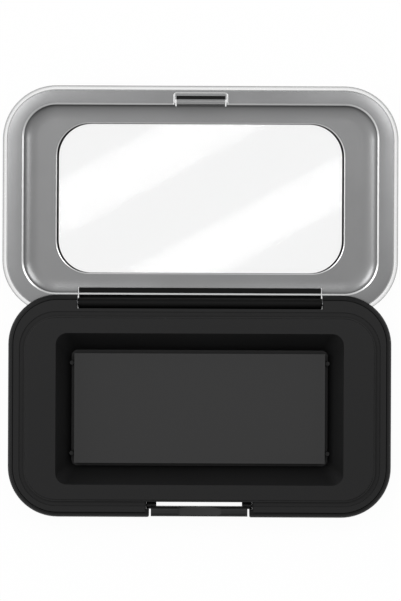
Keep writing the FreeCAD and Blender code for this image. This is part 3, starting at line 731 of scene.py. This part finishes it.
def foam_block(soft):
    """Foam slab with rounded cut edges, slightly crowned, its sides a little uneven."""
    size, middle = span(*WELL)
    shape = block(*WELL, soft.edge, segments=FOAM_STEPS)
    for axis, cuts in enumerate(FOAM_CUTS):
        long_edges = [edge for edge in shape.edges
                      if abs((edge.verts[0].co - edge.verts[1].co)[axis]) > size[axis] / 2]
        bmesh.ops.subdivide_edges(shape, edges=long_edges, cuts=cuts, use_grid_fill=True)
    for vert in shape.verts:
        offset = vert.co - middle
        share = (1 - (2 * offset.x / size.x) ** 2) * (1 - (2 * offset.y / size.y) ** 2)
        if offset.z > 0:
            vert.co.z -= soft.crown * (1.0 - max(0.0, share))
        shift = math.copysign(min(abs(offset.y), soft.uneven), offset.y)
        vert.co.y -= shift * (1 + noise.noise(vert.co * FOAM_WAVES))
    return shape


def sheet_blank(soft):
    """Membrane cut square, lying with faint ripples on the foam."""
    low, high = SHEET
    size, middle = span(low, high)
    shape = bmesh.new()
    stretch = Matrix.Diagonal((size.x, size.y, 1.0, 1.0))
    base = Matrix.Translation((middle.x, middle.y, low.z + soft.gauge)) @ stretch
    bmesh.ops.create_grid(shape, x_segments=SHEET_CUTS[0], y_segments=SHEET_CUTS[1], size=0.5, matrix=base)
    for vert in shape.verts:
        place = Vector((vert.co.x * SHEET_WAVES[0], vert.co.y * SHEET_WAVES[1], SHEET_SLICE))
        vert.co.z += soft.ripple * noise.noise(place)
    bmesh.ops.solidify(shape, geom=shape.faces[:], thickness=soft.gauge)
    return shape


class PALETTE_OT_mouldings(bpy.types.Operator):
    """Finish the black mouldings, and make the rim's shelf at the hinge and its cheeks at the latch"""

    bl_idname = "palette.mouldings"
    bl_label = "Black mouldings"

    def execute(self, context):
        scene = context.scene
        look = scene.palette_finishes
        shell = moulding("shell_textured_black", look.shell, look.grain, roughness=0.5, bump=0.3,
                         specular=0.14)
        wear("base_shell", shell)
        deck = moulding("deck_satin_black", look.deck, look.fine_grain, roughness=0.5, bump=0.2,
                        specular=0.18)
        wear("deck_tray", deck)
        hinge = moulding("hinge_black", look.hinge, look.fine_grain, roughness=0.5, bump=0.2, specular=0.08)
        wear("hinge_bar", hinge)
        lever = moulding("lever_satin_black", look.lever, look.fine_grain, roughness=0.42, bump=0.2,
                         scuff=0.2)
        # Paint a highlight into the lever's scoop as a paler patch
        paint_scoop_highlight(lever, look.scoop_highlight, scene.palette_thumb)
        wear("latch_lever", lever)
        self.make_shelf(scene.palette_shelf, shell)
        self.make_cheeks(scene.palette_cheek, shell)
        return {"FINISHED"}

    def make_shelf(self, shelf, material):
        """Shelf of the rim under the hinge barrel, which closes the pocket to the floor."""
        low = (-BAR_HIGH.x, shelf.front, shelf.level - shelf.thickness)
        high = (BAR_HIGH.x, shelf.front + shelf.width, shelf.level)
        piece = new_piece("pocket_shelf", block(low, high, shelf.edge), material)
        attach(piece, "base")

    def make_cheeks(self, cheek, material):
        """Ends of the latch notch, rounded like the rim's nose."""
        front = SHELL_LOW.y
        for side, name in ((-1, "left"), (1, "right")):
            shape = bmesh.new()
            middle = Vector((side * (cheek.inner + cheek.outer) / 2, front + cheek.radius, cheek.level))
            bmesh.ops.create_cone(
                shape, cap_ends=True, segments=NOSE_STEPS, radius1=cheek.radius, radius2=cheek.radius,
                depth=cheek.outer - cheek.inner,
                matrix=Matrix.Translation(middle) @ Matrix.Rotation(math.pi / 2, 4, "Y"))
            trim(shape, front + cheek.depth, clear_outer=True)
            self.round_end(shape, cheek, front)
            left, right = sorted((side * cheek.liner, side * cheek.outer))
            liner = block((left, front + cheek.depth, cheek.low), (right, front + cheek.notch, cheek.high),
                          cheek.liner_edge)
            for part, solid in (("notch_cheek_", shape), ("notch_liner_", liner)):
                piece = new_piece(part + name, solid, material)
                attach(piece, "base")

    def round_end(self, shape, cheek, front):
        """Round the end that faces the latch, all along the nose."""
        back = front + cheek.depth - SAME_PLACE
        rim = [edge for edge in shape.edges
               if all(abs(abs(vert.co.x) - cheek.inner) < SAME_PLACE for vert in edge.verts)
               and any(vert.co.y < back for vert in edge.verts)]
        bevel(shape, rim, cheek.corner, ROUND_STEPS)


class PALETTE_OT_lid_frame(bpy.types.Operator):
    """Make the silver-grey lid frame with painted chamfer highlights, the catch slot's black lining that
    paints shade, and the window seam, partly a painted shade line
    """

    bl_idname = "palette.lid_frame"
    bl_label = "Lid frame"

    def execute(self, context):
        look = context.scene.palette_finishes
        lid = context.scene.palette_lid
        silver = moulding("frame_silver", look.silver, look.frame_grain, roughness=0.24, bump=0.08,
                          spread=0.03, scuff=0.01, metallic=0.75)
        # Paint the highlights on the frame's chamfers into its base colour
        paint_edge_highlight(silver, look.silver_edge_highlight, floor=FRAME_LOW.z + lid.floor - SAME_PLACE,
                     level=RIM_LEVEL - 2 * lid.chamfer_drop)
        frame_piece = silver_frame(lid, silver)
        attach(frame_piece, "lid")
        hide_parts("lid_frame")
        # Black lining that paints shade in the catch slot
        self.make_slot_shade(lid, look)
        # Window seam: sealing bead and painted shade line
        self.make_seam_shade_line(lid, look)
        return {"FINISHED"}

    def make_slot_shade(self, lid, look):
        """Black lining under the catch slot: painted shade that makes the deep slot read dark."""
        _, _, slot, slot_end = catch_places(lid)
        half = lid.tongue / 2
        top = RIM_LEVEL - lid.flange
        low = (-half, slot - lid.slot_shade_lap, top - lid.wall)
        high = (half, slot_end + lid.slot_shade_lap, top)
        material = moulding("slot_shade_lining_black", look.hinge, look.grain, roughness=0.6, bump=0.2)
        piece = new_piece("slot_shade_lining", block(low, high, lid.slot_shade_edge), material)
        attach(piece, "lid")

    def make_seam_shade_line(self, lid, look):
        """Dark bead that seals the frame to the cover round the window, and also a painted shade line at the
        window's edge: wide at the sides, narrow at the hinge and the catch.
        """
        window = lid_outlines(lid)[2]
        half, low, high, corner = window
        inner = (half - lid.seam, low + lid.seam_end, high - lid.seam_end, corner)
        foot = FRAME_LOW.z
        shape = hoop([(window, 0.0, foot), (window, 0.0, foot + lid.seam_height),
                      (inner, 0.0, foot + lid.seam_height / 3), (inner, 0.0, foot)])
        material = moulding("seam_silicone_shade_line", look.seal, look.grain, roughness=0.5, bump=0.1, specular=0.04)
        piece = new_piece("window_seam_shade_line", shape, material)
        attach(piece, "lid")


class PALETTE_OT_lid_cover(bpy.types.Operator):
    """Finish the clear cover, which is also the window"""

    bl_idname = "palette.lid_cover"
    bl_label = "Clear cover"

    def execute(self, context):
        look = context.scene.palette_finishes
        window = lid_outlines(context.scene.palette_lid)[2]
        wear("lid_cover", clear_plastic("cover_clear", look.clear, look, window))
        return {"FINISHED"}


class PALETTE_OT_seal(bpy.types.Operator):
    """Finish the silicone seal"""

    bl_idname = "palette.seal"
    bl_label = "Seal"

    def execute(self, context):
        look = context.scene.palette_finishes
        seal = moulding("seal_silicone", look.seal, look.grain, roughness=0.62, bump=0.15, specular=0.3)
        wear("seal_ring", seal)
        return {"FINISHED"}


class PALETTE_OT_steel(bpy.types.Operator):
    """Finish the hinge pins, latch pins and latch springs"""

    bl_idname = "palette.steel"
    bl_label = "Pins and springs"

    def execute(self, context):
        steel = drawn_steel("drawn_steel", context.scene.palette_finishes.steel)
        for piece in ("hinge_pin", "latch_pin", "latch_spring"):
            for side in ("left", "right"):
                wear(f"{piece}_{side}", steel)
        return {"FINISHED"}


class PALETTE_OT_foam(bpy.types.Operator):
    """Make the foam pad in the well"""

    bl_idname = "palette.foam"
    bl_label = "Foam pad"

    def execute(self, context):
        soft = context.scene.palette_soft
        material = open_foam("foam_open_cell", context.scene.palette_finishes.foam)
        pad = new_piece("foam_block", foam_block(soft), material)
        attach(pad, "base")
        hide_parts("foam_pad")
        return {"FINISHED"}


class PALETTE_OT_sheet(bpy.types.Operator):
    """Make the palette sheet that lies on the foam"""

    bl_idname = "palette.sheet"
    bl_label = "Palette sheet"

    def execute(self, context):
        soft = context.scene.palette_soft
        size, middle = span(*SHEET)
        material = membrane("sheet_membrane", context.scene.palette_finishes.sheet, middle, size / 2)
        sheet = new_piece("palette_membrane", sheet_blank(soft), material)
        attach(sheet, "base")
        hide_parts("palette_sheet")
        return {"FINISHED"}


class PALETTE_OT_studio(bpy.types.Operator):
    """Set up the floor, the lamps and the camera over the open palette"""

    bl_idname = "palette.studio"
    bl_label = "Studio"

    def execute(self, context):
        studio = context.scene.palette_studio
        self.make_floor(studio)
        for side, across in (("left", -studio.key_across), ("right", studio.key_across)):
            self.make_key("key_" + side, (across, studio.key_rear, studio.key_height), studio)
        lit = bpy.data.collections.new("window_glare")
        lit.objects.link(NODES["lid_cover"])
        for side, x, y, width in STRIPS:
            self.make_strip("strip_" + side, (x, y, studio.strip_height), width, lit, studio)
        self.make_world(context, studio)
        self.make_camera(context, studio)
        context.scene.view_settings.view_transform = "Standard"
        return {"FINISHED"}

    def make_floor(self, studio):
        shape = bmesh.new()
        bmesh.ops.create_grid(shape, x_segments=1, y_segments=1, size=studio.floor_size,
                              matrix=Matrix.Translation((0.0, 0.0, -studio.floor_drop)))
        material, tree, shader, _, output = new_material("pale_floor")
        shader.inputs["Base Color"].default_value = (*studio.floor, 1.0)
        shader.inputs["Roughness"].default_value = 0.9
        shader.inputs["Specular IOR Level"].default_value = 0.1
        path = tree.nodes.new("ShaderNodeLightPath")
        seen = maths(tree, "MAXIMUM", path.outputs["Is Camera Ray"], path.outputs["Is Transmission Ray"])
        seen = maths(tree, "MAXIMUM", seen, path.outputs["Is Glossy Ray"])
        white = add(tree, "ShaderNodeEmission", Strength=1.0)
        mix = tree.nodes.new("ShaderNodeMixShader")
        feed(tree, maths(tree, "MULTIPLY", seen, studio.white), mix.inputs[0])
        join(tree, shader, "BSDF", mix, 1)
        join(tree, white, "Emission", mix, 2)
        join(tree, mix, 0, output, "Surface")
        new_piece("floor", shape, material)

    def new_lamp(self, name, shape, size, power, place):
        data = bpy.data.lights.new(name, "AREA")
        data.shape = shape
        data.size = size
        data.energy = power
        lamp = bpy.data.objects.new(name, data)
        lamp.location = place
        bpy.context.scene.collection.objects.link(lamp)
        return lamp

    def make_key(self, name, place, studio):
        """Round lamp that points at the middle of the picture."""
        lamp = self.new_lamp(name, "DISK", studio.key_size, studio.key, place)
        aim = Vector((studio.aim_x, studio.aim_y, 0.0)) - lamp.location
        lamp.rotation_euler = aim.to_track_quat("-Z", "Y").to_euler()

    def make_strip(self, name, place, width, lit, studio):
        """Long thin lamp high over the window, whose mirror image crosses it aslant."""
        lamp = self.new_lamp(name, "RECTANGLE", studio.strip_length, studio.strip, place)
        lamp.data.size_y = width
        lamp.rotation_euler = (0.0, 0.0, studio.strip_turn)
        lamp.visible_camera = False
        lamp.light_linking.receiver_collection = lit

    def make_world(self, context, studio):
        """Light tent: even overhead, bright at the horizon, dim in front, white to the camera."""
        world = bpy.data.worlds.new("light_tent")
        world.use_nodes = True
        tree = world.node_tree
        background = tree.nodes["Background"]
        background.inputs["Color"].default_value = (1.0, 1.0, 1.0, 1.0)
        direction = tree.nodes.new("ShaderNodeTexCoord")
        axes = tree.nodes.new("ShaderNodeSeparateXYZ")
        join(tree, direction, "Generated", axes, "Vector")
        x, y, z = axes.outputs
        above = spread_value(tree, z, studio.middle, studio.zenith, start=0.5, end=0.8)
        sides = spread_value(tree, maths(tree, "ABSOLUTE", x), 0.0, studio.sides, start=0.25, end=0.6)
        low = spread_value(tree, z, studio.horizon, 0.0, start=0.08, end=0.22)
        front = spread_value(tree, y, studio.front, 1.0, start=-0.6, end=-0.1)
        lean = spread_value(tree, x, 1.0 + studio.lean, 1.0 - studio.lean, start=-0.2, end=0.2)
        light = maths(tree, "ADD", maths(tree, "MAXIMUM", above, sides), low)
        light = maths(tree, "MULTIPLY", maths(tree, "MULTIPLY", light, front), lean)
        path = tree.nodes.new("ShaderNodeLightPath")
        seen = maths(tree, "MAXIMUM", light, path.outputs["Is Camera Ray"])
        feed(tree, seen, background.inputs["Strength"])
        context.scene.world = world

    def make_camera(self, context, studio):
        data = bpy.data.cameras.new("camera")
        data.sensor_width = 36.0
        data.lens = data.sensor_width * studio.distance / studio.frame_height
        camera = bpy.data.objects.new("camera", data)
        camera.location = (studio.aim_x, studio.aim_y, studio.deck_level + studio.distance)
        camera.rotation_euler = (0.0, 0.0, studio.turn)
        context.scene.collection.objects.link(camera)
        context.scene.camera = camera


class PALETTE_PT_sidebar(bpy.types.Panel):
    """Lists the palette's pieces"""

    bl_label = "Wet palette"
    bl_idname = "PALETTE_PT_sidebar"
    bl_space_type = "VIEW_3D"
    bl_region_type = "UI"
    bl_category = "Palette"

    def draw(self, context):
        for operator in OPERATORS:
            self.layout.operator(operator.bl_idname)
        for name, kind in GROUPS.items():
            box = self.layout.box()
            for size in kind.__annotations__:
                box.prop(getattr(context.scene, name), size)


OPERATORS = (PALETTE_OT_mouldings, PALETTE_OT_lid_frame, PALETTE_OT_lid_cover, PALETTE_OT_seal,
             PALETTE_OT_steel, PALETTE_OT_foam, PALETTE_OT_sheet, PALETTE_OT_studio)
GROUPS = {"palette_finishes": PaletteFinishes, "palette_lid": PaletteLid, "palette_shelf": PaletteShelf,
          "palette_cheek": PaletteCheek, "palette_thumb": PaletteScoopHighlight, "palette_soft": PaletteSoft,
          "palette_studio": PaletteStudio}


def register():
    for name, group in GROUPS.items():
        bpy.utils.register_class(group)
        setattr(bpy.types.Scene, name, bpy.props.PointerProperty(type=group))
    for item in (*OPERATORS, PALETTE_PT_sidebar):
        bpy.utils.register_class(item)


def unregister():
    for item in (PALETTE_PT_sidebar, *reversed(OPERATORS)):
        bpy.utils.unregister_class(item)
    for name, group in reversed(GROUPS.items()):
        delattr(bpy.types.Scene, name)
        bpy.utils.unregister_class(group)


def main():
    register()
    bpy.ops.palette.mouldings()
    bpy.ops.palette.lid_frame()
    bpy.ops.palette.lid_cover()
    bpy.ops.palette.seal()
    bpy.ops.palette.steel()
    bpy.ops.palette.foam()
    bpy.ops.palette.sheet()
    bpy.ops.palette.studio()


if __name__ == "__main__":
    main()
